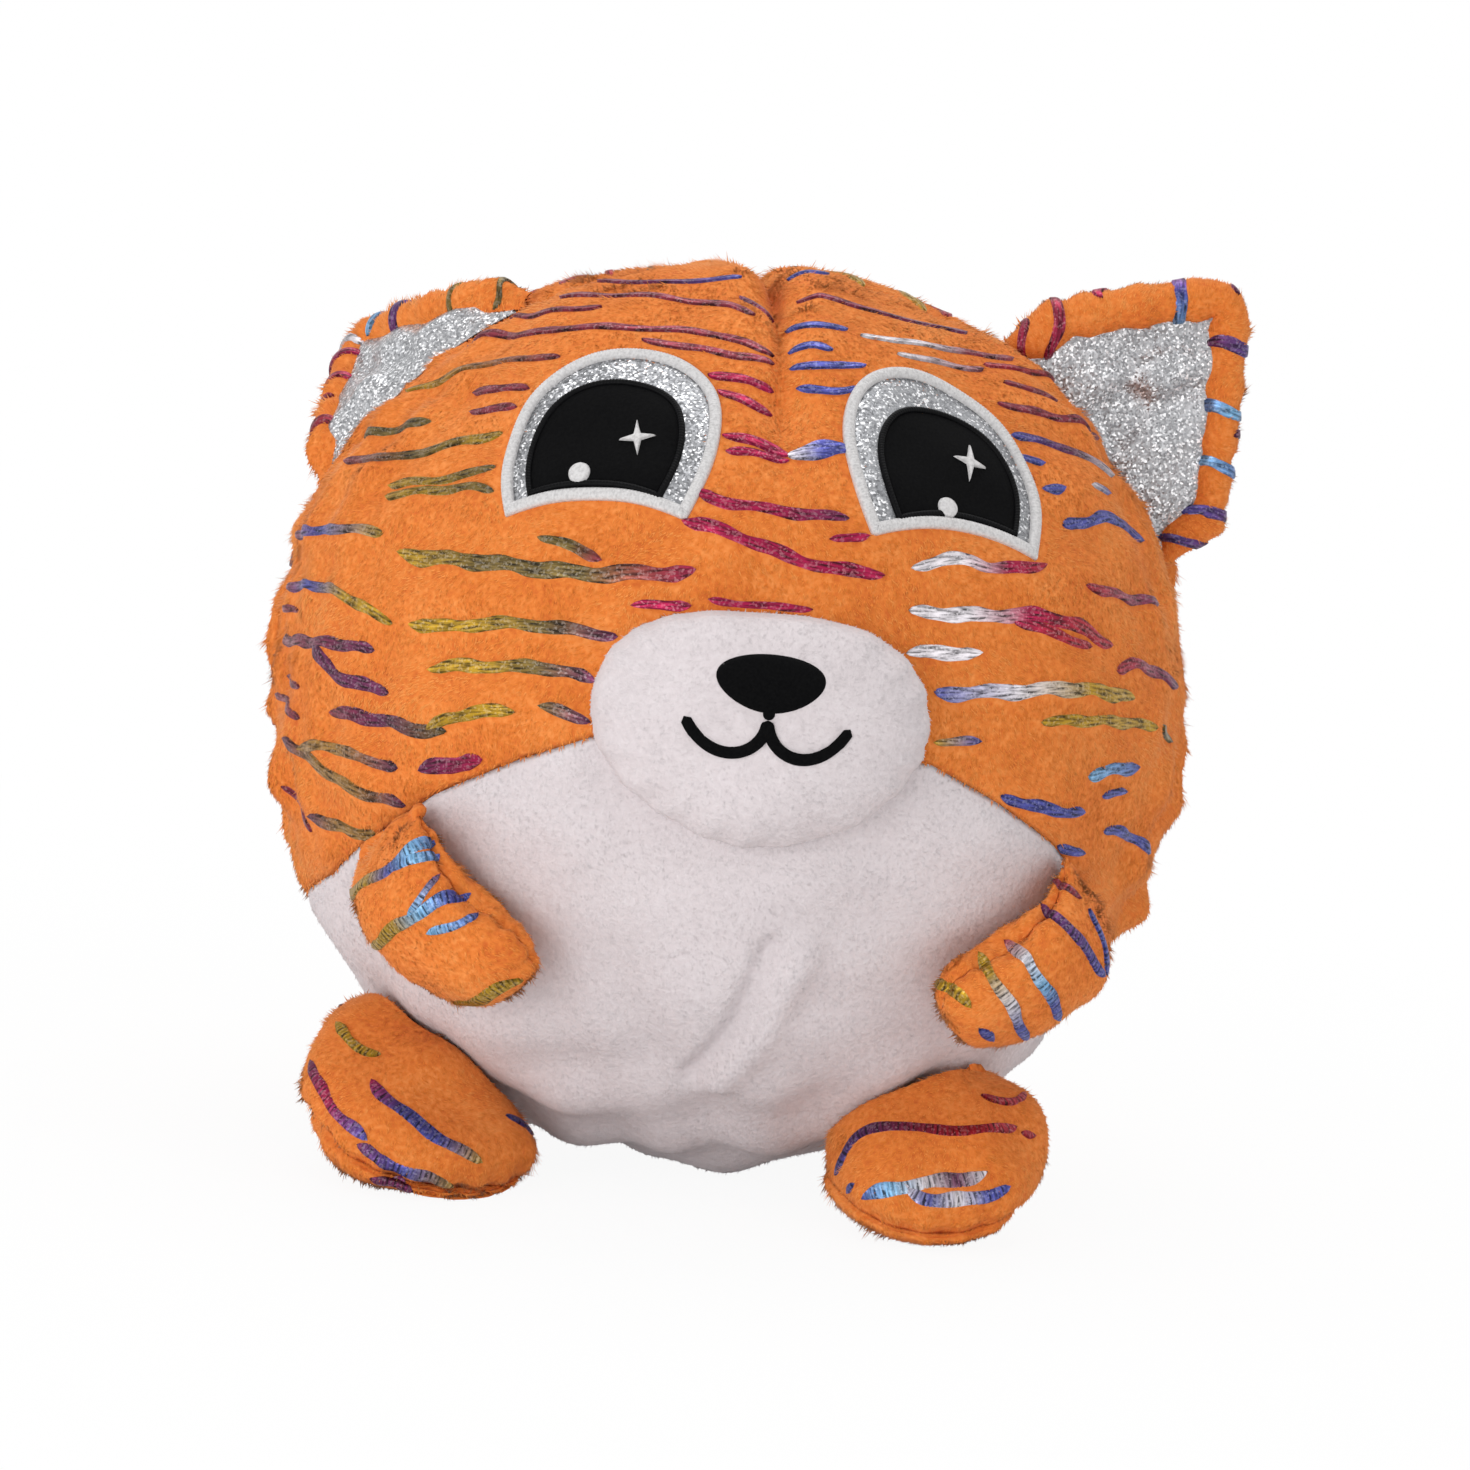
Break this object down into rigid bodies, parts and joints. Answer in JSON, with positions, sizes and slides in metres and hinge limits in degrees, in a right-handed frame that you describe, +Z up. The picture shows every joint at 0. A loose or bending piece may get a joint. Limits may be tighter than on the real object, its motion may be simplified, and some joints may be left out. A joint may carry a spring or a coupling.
{
  "type": "plush cat ball",
  "caption": "Round stuffed cat toy of striped plush with a padded muzzle, embroidered eyes, folding ears, lifting arms and slipper feet, standing on its base",
  "frame": {"origin": "the middle of the flat that the ball stands on", "axes": "+Z up, the face looks along -Y, +X to the viewer's right"},
  "size_m": [0.2605, 0.2587, 0.2521],
  "materials": {
    "orange_plush": "short pile with foil stripes",
    "white_plush": "short pile",
    "glitter_cloth": "silver glitter",
    "black_cloth": "matte",
    "white_thread": "satin stitch",
    "polyester_fill": "loose fibre"
  },
  "bodies": {
    "body": {"body_stuffing": "polyester_fill", "face_panel": "orange_plush", "tummy_panel": "white_plush", "back_left_panel": "orange_plush", "back_right_panel": "orange_plush", "muzzle_cover": "white_plush", "muzzle_stuffing": "polyester_fill", "nose_patch": "black_cloth", "mouth_patch": "black_cloth", "left_eye_glitter_patch": "glitter_cloth", "left_eye_pupil_patch": "black_cloth", "left_eye_border_stitch": "white_thread", "left_eye_star_highlight": "white_thread", "left_eye_dot_highlight": "white_thread", "right_eye_glitter_patch": "glitter_cloth", "right_eye_pupil_patch": "black_cloth", "right_eye_border_stitch": "white_thread", "right_eye_star_highlight": "white_thread", "right_eye_dot_highlight": "white_thread"},
    "left_ear": {"left_ear_cover": "orange_plush", "left_ear_lining": "glitter_cloth"},
    "right_ear": {"right_ear_cover": "orange_plush", "right_ear_lining": "glitter_cloth"},
    "left_arm": {"left_arm_front": "orange_plush", "left_arm_back": "orange_plush", "left_arm_stuffing": "polyester_fill"},
    "right_arm": {"right_arm_front": "orange_plush", "right_arm_back": "orange_plush", "right_arm_stuffing": "polyester_fill"},
    "left_foot": {"left_foot_upper": "orange_plush", "left_foot_sole": "orange_plush", "left_foot_stuffing": "polyester_fill"},
    "right_foot": {"right_foot_upper": "orange_plush", "right_foot_sole": "orange_plush", "right_foot_stuffing": "polyester_fill"}
  },
  "joints": [
    {"name": "left_ear_fold", "type": "hinge", "parent": "body", "child": "left_ear", "pos_m": [-0.09523, 0, 0.20908], "axis": [-0.6852, 0, -0.7283], "range_deg": [-95, 0], "stiffness_Nm_per_rad": 0.03},
    {"name": "right_ear_fold", "type": "hinge", "parent": "body", "child": "right_ear", "pos_m": [0.09523, 0, 0.20908], "axis": [-0.6852, 0, 0.7283], "range_deg": [-20, 74], "stiffness_Nm_per_rad": 0.03},
    {"name": "left_arm_lift", "type": "hinge", "parent": "body", "child": "left_arm", "pos_m": [-0.08986, -0.07674, 0.09927], "axis": [-0.4804, 0.6717, -0.5639], "range_deg": [0, 80], "stiffness_Nm_per_rad": 0.03},
    {"name": "right_arm_lift", "type": "hinge", "parent": "body", "child": "right_arm", "pos_m": [0.08986, -0.07674, 0.09927], "axis": [-0.4804, -0.6717, 0.5639], "range_deg": [0, 80], "stiffness_Nm_per_rad": 0.03},
    {"name": "left_foot_hang", "type": "hinge", "parent": "body", "child": "left_foot", "pos_m": [-0.04953, -0.04156, 0.017], "axis": [-0.6428, 0.766, 0], "range_deg": [-35, 0], "stiffness_Nm_per_rad": 0.05},
    {"name": "right_foot_hang", "type": "hinge", "parent": "body", "child": "right_foot", "pos_m": [0.0394, -0.05043, 0.017], "axis": [-0.788, -0.6157, 0], "range_deg": [-35, 0], "stiffness_Nm_per_rad": 0.05}
  ]
}
